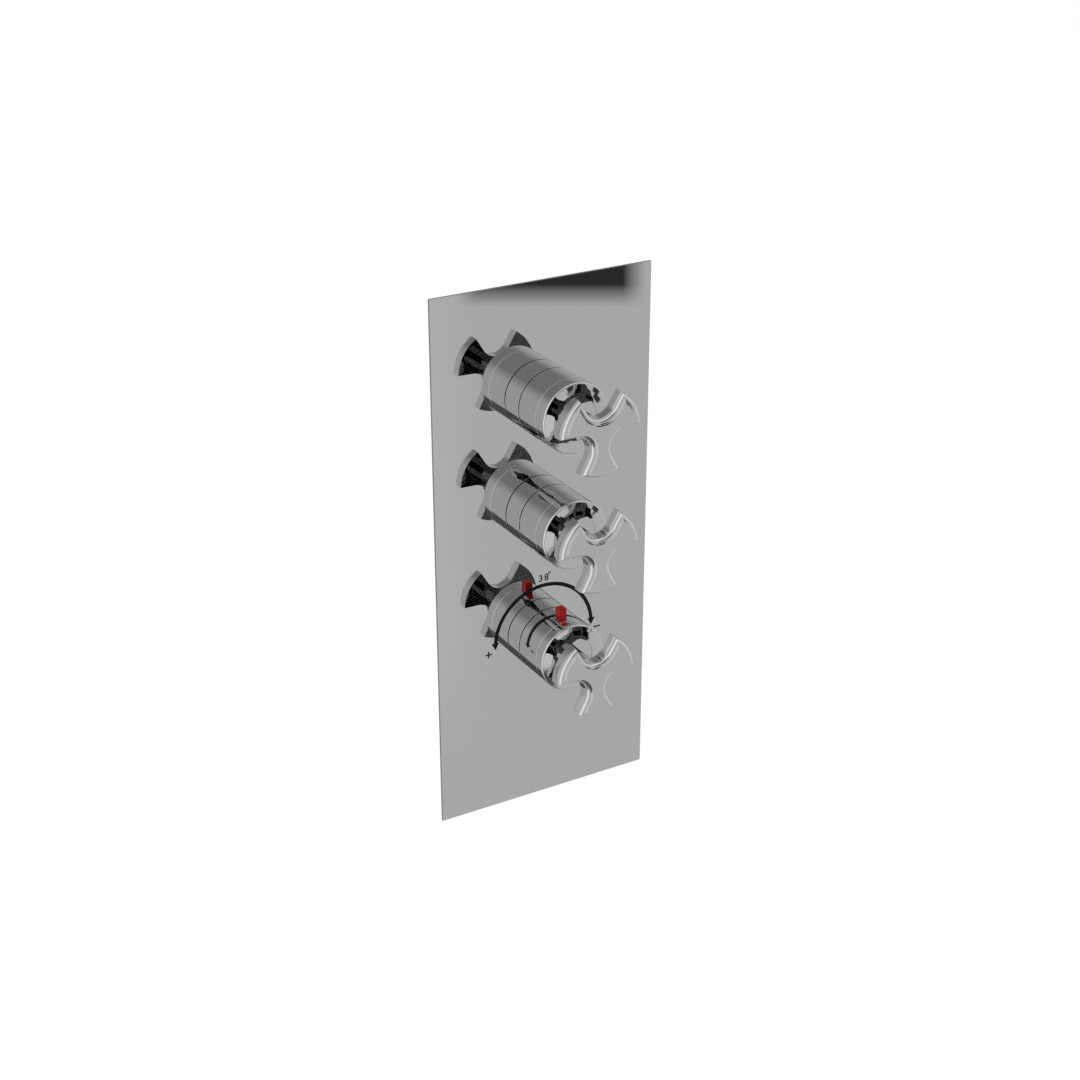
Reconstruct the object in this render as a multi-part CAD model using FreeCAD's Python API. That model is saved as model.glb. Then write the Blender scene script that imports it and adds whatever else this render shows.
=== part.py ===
import FreeCAD, Part
import math
import os

# Concealed thermostatic shower valve with two flow controls above the temperature control.
# X runs to the right as the user faces the wall, Z runs up, and Y runs into the wall.
# The origin is the middle of the faceplate, on the finished wall.
# "Out" distances are measured from the finished wall towards the user, so out = -Y, and
# a negative out lies inside the wall.

Vector = FreeCAD.Vector

# Stations
flow_spacing = 66.0
thermostat_spacing = 74.0
top_station_height = 88.0
flow_heights = [top_station_height, top_station_height - flow_spacing]
thermostat_height = flow_heights[1] - thermostat_spacing

# Faceplate and its foam seal
plate_width = 131.5
plate_height = 306.0
plate_thickness = 1.5
seal_thickness = 1.0
seal_inset = 2.0
station_hole_radius = 16.5
plate_front = seal_thickness + plate_thickness

# Handle barrels and the fixed collars behind them
barrel_radius = 19.4
flow_barrel_reach = 33.2
thermostat_barrel_reach = 31.3
barrel_wall = 1.8
barrel_end_wall = 3.0
barrel_edge_break = 1.0
seam_gap = 0.5
flow_collar_length = 6.85
thermostat_collar_length = 5.75
hub_radius = 9.0
hub_back = 14.0

# Three-armed handles
head_radius = 23.25
arm_half_angle = 28.1
arm_angles = [30.0, 150.0, 270.0]
notch_radius = 9.4
head_thickness = 8.0
head_rounding = 3.6
neck_radius = 5.8
head_gap = 17.8
stud_radius = 3.4
stud_length = 5.5

# Spindle drive
spline_teeth = 20
spline_outer = 4.1
spline_inner = 3.7
spline_start = 13.5
spline_end = 26.0
spline_clearance = 0.06
running_clearance = 0.06
fitting_clearance = 0.1
touch_gap = 0.05

# Grub screws that hold the handles, reached from below
grub_radius = 2.0
grub_length = 4.6
grub_out = 20.0
grub_access_radius = 2.4

# Stop button on the temperature handle
button_side = 4.6
button_out = 21.0
button_proud = 5.7
button_rounding = 0.4
button_foot_side = 7.0
button_foot_height = 1.3
button_foot_gap = 0.35
button_leg_side = 2.9
button_leg_end = 12.4
button_coil_radius = 1.8
button_wire = 0.3

# Brass body
body_back = 62.0
column_half_width = 20.0
column_front = 22.0
column_bottom = -78.0
column_top = 112.0
column_corner = 4.0
boss_radius = 21.0
boss_front = 4.0
boss_thread_radius = 15.5
boss_thread_depth = 10.0
gallery_radius = 5.5
gallery_depth = 54.0
outlet_depth = 34.0
outlet_boss_radius = 14.0
outlet_reach = 20.0
waterway_radius = 7.5
pipe_thread_radius = 9.5
pipe_thread_length = 15.0

# Flow cartridges
flow_pocket_radius = 13.0
flow_pocket_end = 44.0
seat_bore_radius = 6.0
flow_shoulder = 20.0
cartridge_neck_radius = 9.0
cartridge_neck_front = 12.0
flow_bore_radius = 9.5
flow_bore_front = 31.0
disc_thickness = 3.0
seat_seal_thickness = 1.5
port_inner = 2.6
port_outer = 7.4
port_angle = 80.0
spindle_radius = 4.4
foot_width = 4.6
tang_depth = 1.4
tang_width = 3.0
gallery_overlap = 1.5
flow_ring_back = -25.2
flow_spindle_ring_back = -6.0
clip_thickness = 1.0
clip_outer = 7.0

# Thermostat cartridge
thermostat_pocket_radius = 15.0
thermostat_pocket_end = 50.0
thermostat_shoulder = 18.0
thermostat_front_radius = 13.0
thermostat_front = 2.0
regulator_bore_radius = 11.5
regulator_bore_back = 47.0
regulator_bore_front = 4.0
mixed_exit_radius = 8.0
hot_port_depth = 28.0
cold_port_depth = 38.0
port_hole_radius = 1.45
port_hole_count = 8
port_gallery_half = 2.5
port_gallery_radius = 13.4
thermostat_ring_backs = [-46.0, -34.0, -22.6]

# Temperature spindle and the stop ring round the cartridge's neck
thermostat_spindle_radius = 5.4
thermostat_spindle_ring_back = 0.5
thrust_back = -6.5
thrust_radius = 9.0
nose_back = -13.0
stop_ring_back = 8.8
stop_ring_length = 3.0
stop_ring_outer = 11.8
stop_lug_outer = 15.0
stop_lug_width = 4.0

# Regulator, drawn at the middle of its slide
adjuster_thread_radius = 6.0
adjuster_front = -8.5
adjuster_back = -24.0
adjuster_chamber_radius = 7.5
adjuster_chamber_front = -14.0
overload_wire = 0.6
pin_seat_front = -20.0
pin_seat_thickness = 2.3
seat_clip_thickness = 1.0
shuttle_front = -28.0
shuttle_back = -38.0
shuttle_wall = 1.8
web_front = -32.05
web_thickness = 2.2
web_hole_radius = 2.2
capsule_radius = 4.0
capsule_back = -46.0
capsule_flange_radius = 5.5
capsule_nose_radius = 3.0
wax_pin_radius = 1.5
return_wire = 0.8
return_clearance = 0.8

# Shroud carriers
carrier_outer = 15.4
carrier_inner = 13.4
carrier_front = 8.5

# Sealing rings
groove_width = 2.0
ring_section = 1.1

# Inlets
inlet_depth = 33.0
inlet_boss_radius = 15.5
inlet_boss_reach = 58.0
chamber_radius = 11.0
chamber_floor = 24.0
inlet_port_radius = 4.0
check_length = 16.0
check_bore_radius = 8.5
check_seat_radius = 5.5
check_wall = 2.0
spider_offset = 4.0
poppet_radius = 7.4
poppet_travel = 3.0
stem_radius = 1.5
check_coil_radius = 3.5
check_wire = 0.4
filter_length = 3.4
filter_rim = 1.7
mesh_thickness = 0.6
mesh_hole_radius = 0.8
mesh_pitch = 2.4
washer_thickness = 1.5
union_hex_flats = 30.0
union_hex_length = 8.0
union_reach = 80.0
union_socket_radius = 14.0
plug_hex_flats = 22.0
plug_hex_length = 6.0
plug_depth = 11.0

# Wall brackets and their countersunk screws
bracket_thickness = 3.0
bracket_length = 100.0
bracket_height = 18.0
bracket_heights = [100.0, -66.0]
wall_hole_spacing = 84.0
wall_hole_radius = 3.0
screw_offset = 13.0
screw_radius = 2.4
screw_head_radius = 4.8
screw_length = 12.0


def turned(radius, back, front, x=0.0, z=0.0):
    """Round bar square to the wall, between two out distances."""
    return Part.makeCylinder(radius, front - back, Vector(x, -front, z), Vector(0, 1, 0))


def tube(outer, inner, back, front, x=0.0, z=0.0):
    """Round tube square to the wall, between two out distances."""
    return turned(outer, back, front, x, z).cut(turned(inner, back - 1, front + 1, x, z))


def sideways(radius, near, far, side, y, z):
    """Round bar along X, between two distances from the middle; side is -1 or +1."""
    return Part.makeCylinder(radius, far - near, Vector(side * near, y, z), Vector(side, 0, 0))


def sideways_tube(outer, inner, near, far, side, y, z):
    return sideways(outer, near, far, side, y, z).cut(
        sideways(inner, near - 1, far + 1, side, y, z))


def upright(radius, bottom, top, x, y):
    return Part.makeCylinder(radius, top - bottom, Vector(x, y, bottom), Vector(0, 0, 1))


def block(x_size, z_size, back, front, x=0.0, z=0.0):
    """Bar with a rectangular section square to the wall, centred on x and z."""
    corner = Vector(x - x_size / 2, -front, z - z_size / 2)
    return Part.makeBox(x_size, front - back, z_size, corner)


def polygon_bar(points, back, front, x=0.0, z=0.0):
    """Bar whose section in the plane of the wall is the closed polygon given."""
    corners = [Vector(x + a, -front, z + b) for a, b in points]
    face = Part.Face(Part.makePolygon(corners + corners[:1]))
    return face.extrude(Vector(0, front - back, 0))


def splined(outer, inner, back, front, z):
    """Drive end with fine triangular teeth."""
    points = []
    for step in range(2 * spline_teeth):
        radius = outer if step % 2 == 0 else inner
        angle = math.pi * step / spline_teeth
        points.append((radius * math.cos(angle), radius * math.sin(angle)))
    return polygon_bar(points, back, front, 0.0, z)


def hexagon_sideways(flats, near, far, side, y, z):
    """Hexagonal bar along X with a flat on top."""
    radius = flats / math.sqrt(3)
    corners = []
    for step in range(6):
        angle = math.radians(60 * step)
        corners.append(Vector(side * near, y + radius * math.cos(angle), z + radius * math.sin(angle)))
    face = Part.Face(Part.makePolygon(corners + corners[:1]))
    return face.extrude(Vector(side * (far - near), 0, 0))


def round_edges_at(solid, out, radius):
    """The circular edges of one radius that lie at one out distance."""
    found = []
    for edge in solid.Edges:
        circle = isinstance(edge.Curve, Part.Circle)
        if circle and abs(edge.Curve.Radius - radius) < 0.01 and abs(edge.Curve.Center.y + out) < 0.01:
            found.append(edge)
    return found


def clip_ring(inner, outer, back, front, z):
    """Spring clip: a flat ring with a gap at the top for fitting."""
    ring = tube(outer, inner, back, front, 0.0, z)
    return ring.cut(block(inner, 2 * outer, back - 1, front + 1, 0.0, z + outer))


def coil(mean_radius, wire_radius, length, turns, base, direction):
    """Compression spring of round wire, from base along direction, on quarter-turn arcs."""
    rise = length - 2 * wire_radius

    def helix_point(quarters):
        angle = math.pi / 2 * quarters
        height = wire_radius + rise * quarters / (4 * turns)
        return Vector(mean_radius * math.cos(angle), mean_radius * math.sin(angle), height)

    arcs = []
    for quarter in range(4 * turns):
        ends = [helix_point(quarter), helix_point(quarter + 0.5), helix_point(quarter + 1)]
        arcs.append(Part.Arc(*ends).toShape())
    start = arcs[0]
    tangent = start.tangentAt(start.FirstParameter)
    section = Part.Wire(Part.makeCircle(wire_radius, helix_point(0), tangent))
    wire = Part.Wire(arcs).makePipeShell([section], True, False)
    turn = FreeCAD.Rotation(Vector(0, 0, 1), direction)
    wire.Placement = FreeCAD.Placement(base, turn)
    return wire


def save(node, *solids):
    """Write one node; several like pieces stay separate solids in it."""
    shape = solids[0] if len(solids) == 1 else Part.makeCompound(list(solids))
    shape.exportStep("parts/" + node + ".step")
    print(node, len(shape.Solids), round(shape.Volume, 1), shape.isValid())


def make_faceplate():
    plate = block(plate_width, plate_height, seal_thickness, plate_front)
    seal = block(plate_width - 2 * seal_inset, plate_height - 2 * seal_inset, 0.0, seal_thickness)
    for height in flow_heights + [thermostat_height]:
        opening = turned(station_hole_radius, -1.0, plate_front + 1, 0.0, height)
        plate = plate.cut(opening)
        seal = seal.cut(opening)
    save("faceplate", plate)
    save("faceplate_seal", seal)


def make_body():
    """Cast brass body with three pockets, a mixed-water gallery, two inlets and three outlets."""
    column = Part.makeBox(2 * column_half_width, body_back - column_front, column_top - column_bottom,
                          Vector(-column_half_width, column_front, column_bottom))
    uprights = [edge for edge in column.Edges if abs(edge.tangentAt(edge.FirstParameter).z) > 0.99]
    column = column.makeFillet(column_corner, uprights)
    outlet_end = column_half_width + outlet_reach
    top_end = column_top + outlet_reach
    second_height = flow_heights[1]
    bosses = []
    for height in flow_heights + [thermostat_height]:
        bosses.append(turned(boss_radius, -body_back, -boss_front, 0.0, height))
    for side in (-1, 1):
        bosses.append(sideways(inlet_boss_radius, 0.0, inlet_boss_reach, side, inlet_depth,
                               thermostat_height))
        bosses.append(sideways(outlet_boss_radius, 0.0, outlet_end, side, outlet_depth, second_height))
    bosses.append(upright(outlet_boss_radius, top_station_height, top_end, 0.0, outlet_depth))
    body = column.multiFuse(bosses).removeSplitter()

    cuts = []
    for height in flow_heights + [thermostat_height]:
        cuts.append(turned(boss_thread_radius, -boss_front - boss_thread_depth, 1.0, 0.0, height))
        cuts.append(turned(seat_bore_radius, -gallery_depth, 0.0, 0.0, height))
    for height in flow_heights:
        cuts.append(turned(flow_pocket_radius, -flow_pocket_end, 0.0, 0.0, height))
    cuts.append(turned(thermostat_pocket_radius, -thermostat_pocket_end, 0.0, 0.0, thermostat_height))
    cuts.append(upright(gallery_radius, thermostat_height, top_station_height, 0.0, gallery_depth))
    cuts.append(upright(waterway_radius, top_station_height, top_end, 0.0, outlet_depth))
    cuts.append(upright(pipe_thread_radius, top_end - pipe_thread_length, top_end + 1, 0.0,
                        outlet_depth))
    port_depths = {-1: hot_port_depth, 1: cold_port_depth}
    for side in (-1, 1):
        cuts.append(sideways(waterway_radius, 0.0, outlet_end, side, outlet_depth, second_height))
        cuts.append(sideways(pipe_thread_radius, outlet_end - pipe_thread_length, outlet_end + 1,
                             side, outlet_depth, second_height))
        cuts.append(sideways(chamber_radius, chamber_floor, inlet_boss_reach + 1, side,
                             inlet_depth, thermostat_height))
        cuts.append(sideways(inlet_port_radius, thermostat_front_radius, chamber_floor + 1, side,
                             port_depths[side], thermostat_height))
        for height in bracket_heights:
            cuts.append(turned(screw_radius + fitting_clearance, -body_back - 1,
                               screw_length - body_back - bracket_thickness, side * screw_offset,
                               height))
    save("valve_body", cut_all(body, cuts))


def cut_all(solid, tools):
    for tool in tools:
        solid = solid.cut(tool)
    return solid


def make_brackets():
    """Two steel straps behind the body, each with two wall holes and two countersunk screws."""
    straps = []
    screws = []
    back = -body_back - bracket_thickness
    for height in bracket_heights:
        strap = block(bracket_length, bracket_height, back, -body_back, 0.0, height)
        for side in (-1, 1):
            wall_hole = turned(wall_hole_radius, back - 1, -body_back + 1,
                               side * wall_hole_spacing / 2, height)
            clear = screw_radius + fitting_clearance
            screw_hole = turned(clear, back - 1, -body_back + 1, side * screw_offset, height)
            head_depth = screw_head_radius - screw_radius
            origin = Vector(side * screw_offset, -back, height)
            sink = Part.makeCone(screw_head_radius + fitting_clearance, clear, head_depth, origin,
                                 Vector(0, -1, 0))
            strap = cut_all(strap, [wall_hole, screw_hole, sink])
            head = Part.makeCone(screw_head_radius, screw_radius, head_depth, origin, Vector(0, -1, 0))
            shank = turned(screw_radius, back + head_depth, back + screw_length - touch_gap,
                           side * screw_offset, height)
            screws.append(head.fuse(shank))
        straps.append(strap)
    save("wall_brackets", *straps)
    save("bracket_screws", *screws)


def make_shrouds():
    """Threaded carriers that hold the collars, and the rings that seal them in the plate."""
    carriers = []
    rings = []
    carrier_back = -boss_front - boss_thread_depth + touch_gap
    for height in flow_heights + [thermostat_height]:
        carriers.append(tube(carrier_outer, carrier_inner, carrier_back, carrier_front, 0.0, height))
        rings.append(tube(station_hole_radius - touch_gap, carrier_outer + touch_gap,
                          0.0, plate_front, 0.0, height))
    save("shroud_carriers", *carriers)
    save("shroud_seals", *rings)


def make_collar(node, length, z):
    """Plain chromed ring that screws over its carrier and clamps the plate."""
    front = plate_front + length
    collar = tube(barrel_radius, carrier_outer + touch_gap, plate_front, front, 0.0, z)
    save(node, collar.makeChamfer(seam_gap / 2, round_edges_at(collar, front, barrel_radius)))


def make_barrel(node, collar_length, reach, z, with_button):
    """Turned cup that hides the spindle: sleeve, end wall and a central hub with the socket."""
    back = plate_front + collar_length + seam_gap
    front = plate_front + reach
    inside = barrel_radius - barrel_wall
    barrel = turned(barrel_radius, back, front, 0.0, z)
    barrel = barrel.makeChamfer(seam_gap / 2, round_edges_at(barrel, back, barrel_radius))
    barrel = barrel.makeChamfer(barrel_edge_break, round_edges_at(barrel, front, barrel_radius))
    barrel = barrel.cut(turned(inside, back - 1, front - barrel_end_wall, 0.0, z))
    barrel = barrel.fuse(turned(hub_radius, hub_back, front - barrel_end_wall, 0.0, z))
    cuts = [
        splined(spline_outer + spline_clearance, spline_inner + spline_clearance,
                hub_back - 1, spline_end + touch_gap, z),
        turned(stud_radius + touch_gap, front - stud_length - touch_gap, front + 1, 0.0, z),
        upright(grub_radius + touch_gap, z - hub_radius - 1, z, 0.0, -grub_out),
        upright(grub_access_radius, z - barrel_radius - 1, z - hub_radius - 1, 0.0, -grub_out),
    ]
    if with_button:
        slot = button_side + 2 * fitting_clearance
        cuts.append(Part.makeBox(slot, slot, barrel_radius,
                                 Vector(-slot / 2, -button_out - slot / 2, z + hub_radius + 1)))
    save(node, cut_all(barrel, cuts))


def notch_outline():
    """Three equal arms with radial sides, joined by round notches, as edges in the wall's plane."""
    half_gap = math.radians(60.0 - arm_half_angle)
    notch_centre = notch_radius / math.sin(half_gap)
    tangent_length = notch_radius / math.tan(half_gap)

    def at(radius, degrees):
        angle = math.radians(degrees)
        return Vector(radius * math.cos(angle), 0, radius * math.sin(angle))

    edges = []
    for arm in arm_angles:
        first = arm - arm_half_angle
        last = arm + arm_half_angle
        following = arm + 120.0 - arm_half_angle
        edges.append(Part.Arc(at(head_radius, first), at(head_radius, arm),
                              at(head_radius, last)).toShape())
        edges.append(Part.LineSegment(at(head_radius, last), at(tangent_length, last)).toShape())
        edges.append(Part.Arc(at(tangent_length, last), at(notch_centre - notch_radius, arm + 60.0),
                              at(tangent_length, following)).toShape())
        edges.append(Part.LineSegment(at(tangent_length, following),
                                      at(head_radius, following)).toShape())
    return Part.Wire(edges)


def make_handle(node, reach, z):
    """Three-armed head with a widely rounded front, on a plain neck with a threaded stud."""
    barrel_front = plate_front + reach
    head_back = barrel_front + head_gap
    head_front = head_back + head_thickness
    outline = notch_outline()
    outline.translate(Vector(0, -head_front, z))
    head = Part.Face(outline).extrude(Vector(0, head_front - head_back, 0))
    front_edges = [edge for edge in head.Edges if edge.BoundBox.YMax < -head_front + 0.01]
    head = head.makeFillet(head_rounding, front_edges)
    neck = turned(neck_radius, barrel_front, head_back, 0.0, z)
    stud = turned(stud_radius, barrel_front - stud_length, barrel_front, 0.0, z)
    save(node, head.multiFuse([neck, stud]))


def make_grub_screw(node, z):
    """Socket set screw that bears on the spindle's drive end."""
    tip = z - spline_outer - spline_clearance
    screw = upright(grub_radius, tip - grub_length, tip, 0.0, -grub_out)
    socket = upright(grub_radius / 2, tip - grub_length - 1, tip - grub_length / 2, 0.0, -grub_out)
    save(node, screw.cut(socket))


def ported_disc(back, front, first_angle, z):
    """Ceramic disc with two opposite kidney-shaped ports."""
    disc = turned(flow_bore_radius - running_clearance, back, front, 0.0, z)
    for middle in (first_angle, first_angle + 180.0):

        def corner(radius, share):
            angle = math.radians(middle + share * port_angle / 2)
            return Vector(radius * math.cos(angle), -front - 1, z + radius * math.sin(angle))

        port = Part.Wire([
            Part.Arc(corner(port_outer, -1), corner(port_outer, 0), corner(port_outer, 1)).toShape(),
            Part.LineSegment(corner(port_outer, 1), corner(port_inner, 1)).toShape(),
            Part.Arc(corner(port_inner, 1), corner(port_inner, 0), corner(port_inner, -1)).toShape(),
            Part.LineSegment(corner(port_inner, -1), corner(port_outer, -1)).toShape(),
        ])
        disc = disc.cut(Part.Face(port).extrude(Vector(0, front - back + 2, 0)))
    return disc


def ring_groove(outer, back, z):
    return tube(outer + 1, outer - ring_section - touch_gap, back, back + groove_width, 0.0, z)


def sealing_ring(bore, back, z):
    """Rubber ring that sits in a groove and wipes a bore of the radius given."""
    outer = bore - touch_gap
    return tube(outer, outer - ring_section, back + touch_gap, back + groove_width - touch_gap, 0.0, z)


def flow_positions():
    """Out distances of the stack at the bottom of a flow pocket."""
    seal_front = -flow_pocket_end + seat_seal_thickness
    fixed_front = seal_front + disc_thickness
    moving_front = fixed_front + disc_thickness
    return seal_front, fixed_front, moving_front


def make_flow_station(number, z):
    """Quarter-turn ceramic cartridge and its handle."""
    name = "flow_" + str(number) + "_"
    seal_front, fixed_front, moving_front = flow_positions()
    shell_radius = flow_pocket_radius - fitting_clearance
    shell = turned(shell_radius, -flow_pocket_end + touch_gap, -flow_shoulder, 0.0, z)
    shell = shell.fuse(turned(cartridge_neck_radius, -flow_shoulder, cartridge_neck_front, 0.0, z))
    gallery = tube(shell_radius + 1, flow_bore_radius + gallery_overlap, moving_front - gallery_overlap,
                   -flow_bore_front + gallery_overlap, 0.0, z)
    window_height = -flow_bore_front - moving_front
    cuts = [
        turned(flow_bore_radius, -flow_pocket_end - 1, -flow_bore_front, 0.0, z),
        turned(spindle_radius + running_clearance, -flow_pocket_end, cartridge_neck_front + 1, 0.0, z),
        gallery,
        ring_groove(shell_radius, flow_ring_back, z),
    ]
    for turn in (0.0, 90.0):
        window = block(4 * flow_bore_radius, flow_bore_radius, -flow_bore_front - window_height,
                       -flow_bore_front)
        window.rotate(Vector(0, 0, 0), Vector(0, 1, 0), turn)
        window.translate(Vector(0, 0, z))
        cuts.append(window)
    save(name + "cartridge", cut_all(shell, cuts))

    save(name + "moving_disc", ported_disc(fixed_front, moving_front, 0.0, z).cut(
        block(tang_width + 2 * touch_gap, 2 * port_outer, moving_front - tang_depth - touch_gap,
              moving_front + 1, 0.0, z)))

    foot_radius = flow_bore_radius - running_clearance
    foot = block(foot_width, 4 * foot_radius, moving_front + touch_gap,
                 -flow_bore_front - touch_gap, 0.0, z)
    foot = foot.common(turned(foot_radius, moving_front, -flow_bore_front, 0.0, z))
    tang = block(tang_width, 2 * port_outer - 2 * touch_gap, moving_front - tang_depth,
                 moving_front + touch_gap, 0.0, z)
    shaft = turned(spindle_radius, moving_front + touch_gap, spline_start, 0.0, z)
    drive = splined(spline_outer, spline_inner, spline_start, spline_end, z)
    spindle = foot.multiFuse([tang, shaft, drive])
    spindle = spindle.cut(ring_groove(spindle_radius, flow_spindle_ring_back, z))
    clip_back = cartridge_neck_front + touch_gap
    clip_groove = spline_inner - ring_section / 2
    spindle = spindle.cut(tube(spindle_radius + 1, clip_groove, clip_back,
                               clip_back + clip_thickness, 0.0, z))
    save(name + "spindle", spindle)
    save(name + "spindle_ring", sealing_ring(spindle_radius, flow_spindle_ring_back, z))
    save(name + "spindle_clip", clip_ring(clip_groove + touch_gap, clip_outer, clip_back + touch_gap,
                                          clip_back + clip_thickness - touch_gap, z))
    make_collar(name + "collar", flow_collar_length, z)
    make_barrel(name + "barrel", flow_collar_length, flow_barrel_reach, z, False)
    make_handle(name + "handle", flow_barrel_reach, z)
    make_grub_screw(name + "grub_screw", z)


def make_flow_pairs():
    """Pieces of the two flow cartridges that stay still and are alike."""
    seal_front, fixed_front, moving_front = flow_positions()
    discs, seals, rings, nuts = [], [], [], []
    shell_radius = flow_pocket_radius - fitting_clearance
    for z in flow_heights:
        discs.append(ported_disc(seal_front, fixed_front, 90.0, z))
        seals.append(tube(flow_bore_radius - touch_gap, seat_bore_radius, -flow_pocket_end,
                          seal_front, 0.0, z))
        rings.append(sealing_ring(flow_pocket_radius, flow_ring_back, z))
        nuts.append(tube(shell_radius, cartridge_neck_radius + fitting_clearance, -flow_shoulder,
                         -boss_front - boss_thread_depth - touch_gap, 0.0, z))
    save("flow_fixed_discs", *discs)
    save("flow_seat_seals", *seals)
    save("flow_cartridge_rings", *rings)
    save("flow_retaining_nuts", *nuts)


def make_thermostat_cartridge():
    z = thermostat_height
    shell_radius = thermostat_pocket_radius - fitting_clearance
    shell = turned(shell_radius, -thermostat_pocket_end + touch_gap, -thermostat_shoulder, 0.0, z)
    front = turned(thermostat_front_radius, -thermostat_shoulder, thermostat_front, 0.0, z)
    neck = turned(cartridge_neck_radius, thermostat_front, cartridge_neck_front, 0.0, z)
    shell = shell.multiFuse([front, neck])
    cuts = [
        turned(mixed_exit_radius, -thermostat_pocket_end - 1, -regulator_bore_back + 1, 0.0, z),
        turned(regulator_bore_radius, -regulator_bore_back, -regulator_bore_front, 0.0, z),
        turned(thermostat_spindle_radius + running_clearance, -regulator_bore_front - 1,
               cartridge_neck_front + 1, 0.0, z),
    ]
    for back in thermostat_ring_backs:
        cuts.append(ring_groove(shell_radius, back, z))
    for depth in (hot_port_depth, cold_port_depth):
        cuts.append(tube(shell_radius + 1, port_gallery_radius, -depth - port_gallery_half,
                         -depth + port_gallery_half, 0.0, z))
        for number in range(port_hole_count):
            angle = math.radians(360.0 * number / port_hole_count)
            heading = Vector(math.cos(angle), 0, math.sin(angle))
            start = Vector(0, depth, z) + heading * (regulator_bore_radius - 1)
            cuts.append(Part.makeCylinder(port_hole_radius,
                                          thermostat_pocket_radius - regulator_bore_radius + 2,
                                          start, heading))
    save("thermostat_cartridge", cut_all(shell, cuts))
    save("thermostat_rings",
         *[sealing_ring(thermostat_pocket_radius, back, z) for back in thermostat_ring_backs])
    save("thermostat_retaining_nut",
         tube(shell_radius, thermostat_front_radius + touch_gap, -thermostat_shoulder,
                                          -boss_front - boss_thread_depth - touch_gap, 0.0, z))
    stop = tube(stop_ring_outer, cartridge_neck_radius + touch_gap, stop_ring_back,
                stop_ring_back + stop_ring_length, 0.0, z)
    lug = block(stop_lug_width, stop_lug_outer, stop_ring_back, stop_ring_back + stop_ring_length, 0.0,
                z + stop_lug_outer / 2)
    lug = lug.cut(turned(stop_ring_outer - 1, stop_ring_back - 1,
                         stop_ring_back + stop_ring_length + 1, 0.0, z))
    save("stop_ring", stop.fuse(lug))


def make_regulator():
    """Everything that slides inside the thermostat cartridge to mix hot and cold."""
    z = thermostat_height
    adjuster = turned(regulator_bore_radius - fitting_clearance, adjuster_back, adjuster_front, 0.0, z)
    save("adjuster_nut", cut_all(adjuster, [
        turned(adjuster_thread_radius + running_clearance, adjuster_chamber_front - 1,
               adjuster_front + 1, 0.0, z),
        turned(adjuster_chamber_radius, adjuster_back - 1, adjuster_chamber_front, 0.0, z),
    ]))
    spring_length = adjuster_chamber_front - pin_seat_front - 2 * touch_gap
    overload_radius = adjuster_chamber_radius - fitting_clearance - overload_wire
    save("overload_spring", coil(overload_radius, overload_wire, spring_length, 3,
                                 Vector(0, -pin_seat_front - touch_gap, z), Vector(0, -1, 0)))
    seat_back = pin_seat_front - pin_seat_thickness
    pin_seat = turned(adjuster_chamber_radius - touch_gap, seat_back, pin_seat_front, 0.0, z)
    pin_socket = turned(wax_pin_radius + touch_gap, seat_back - 1,
                        seat_back + pin_seat_thickness / 2, 0.0, z)
    save("pin_seat", pin_seat.cut(pin_socket))
    save("seat_clip",
         clip_ring(adjuster_chamber_radius - shuttle_wall, adjuster_chamber_radius - touch_gap,
                                seat_back - touch_gap - seat_clip_thickness, seat_back - touch_gap, z))
    flange_back = web_front + touch_gap
    flange_front = flange_back + web_thickness
    capsule = turned(capsule_radius, capsule_back, flange_back, 0.0, z)
    flange = turned(capsule_flange_radius, flange_back, flange_front, 0.0, z)
    nose = turned(capsule_nose_radius, flange_front, flange_front + 2 * web_thickness, 0.0, z)
    pin = turned(wax_pin_radius, flange_front, seat_back + pin_seat_thickness / 2 - touch_gap, 0.0, z)
    save("wax_element", capsule.multiFuse([flange, nose, pin]))
    shuttle_radius = regulator_bore_radius - running_clearance
    shuttle = tube(shuttle_radius, shuttle_radius - shuttle_wall, shuttle_back, shuttle_front, 0.0, z)
    web = tube(shuttle_radius - shuttle_wall / 2, capsule_radius + touch_gap, web_front - web_thickness,
               web_front, 0.0, z)
    for number in range(6):
        angle = math.radians(60.0 * number)
        ring_radius = (shuttle_radius - shuttle_wall + capsule_radius) / 2
        web = web.cut(turned(web_hole_radius, web_front - web_thickness - 1, web_front + 1,
                             ring_radius * math.cos(angle), z + ring_radius * math.sin(angle)))
    save("mixing_shuttle", shuttle.fuse(web))
    return_length = shuttle_back + regulator_bore_back - 2 * touch_gap
    return_radius = regulator_bore_radius - return_clearance - return_wire
    save("return_spring", coil(return_radius, return_wire, return_length, 4,
                               Vector(0, regulator_bore_back - touch_gap, z), Vector(0, -1, 0)))


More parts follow.
